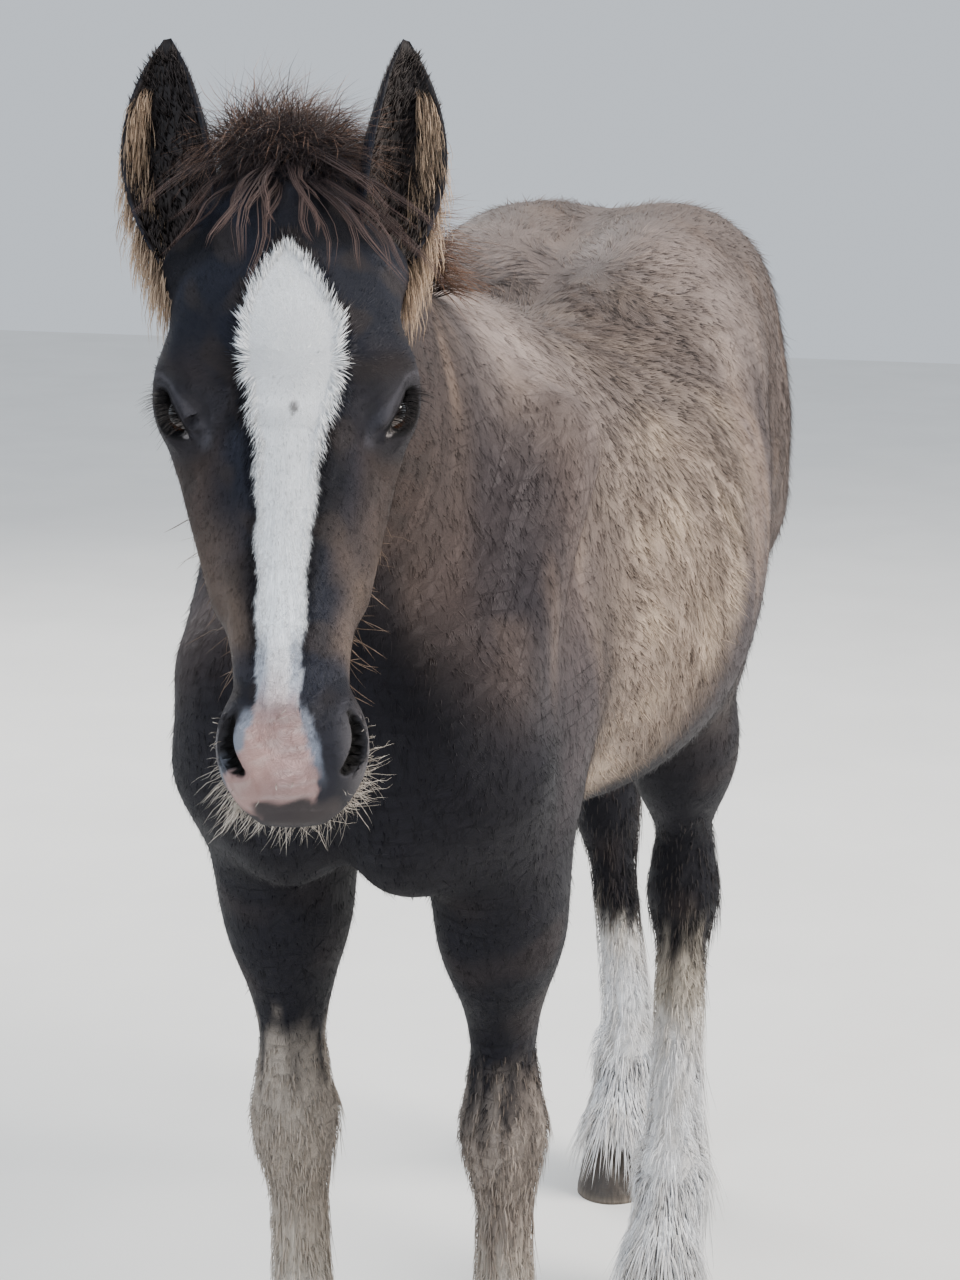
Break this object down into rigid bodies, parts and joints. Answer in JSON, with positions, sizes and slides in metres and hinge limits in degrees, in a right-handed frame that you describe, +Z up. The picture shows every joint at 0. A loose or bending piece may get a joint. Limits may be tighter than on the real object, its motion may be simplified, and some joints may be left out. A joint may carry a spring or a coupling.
{
  "type": "irish cob foal",
  "caption": "Still life-size model of a weanling Irish Cob foal, dark brown with a white blaze and white feathered lower legs, standing square-on with its head turned.",
  "frame": {"origin": "on the floor, at the middle of the box round the whole foal", "axes": "the foal's body faces -Y, its left side is +X, and +Z is up"},
  "size_m": [0.4732, 1.5796, 1.3438],
  "materials": {
    "coat": "dark brown short to shaggy hair",
    "long_hair": "dark red-brown long hair",
    "white_hair": "cream-white long hair",
    "hoof": "dark matt horn",
    "eye": "wet dark brown"
  },
  "bodies": {
    "root": {"head": "coat", "neck": "coat", "chest": "coat", "barrel": "coat", "hindquarters": "coat", "tail": "long_hair", "ear_left": "coat", "ear_right": "coat", "eye_left": "eye", "eye_right": "eye", "forearm_left": "coat", "forearm_right": "coat", "foreleg_left": "white_hair", "foreleg_right": "white_hair", "fore_hoof_left": "hoof", "fore_hoof_right": "hoof", "gaskin_left": "coat", "gaskin_right": "coat", "hind_leg_left": "white_hair", "hind_leg_right": "white_hair", "hind_hoof_left": "hoof", "hind_hoof_right": "hoof"}
  },
  "joints": []
}
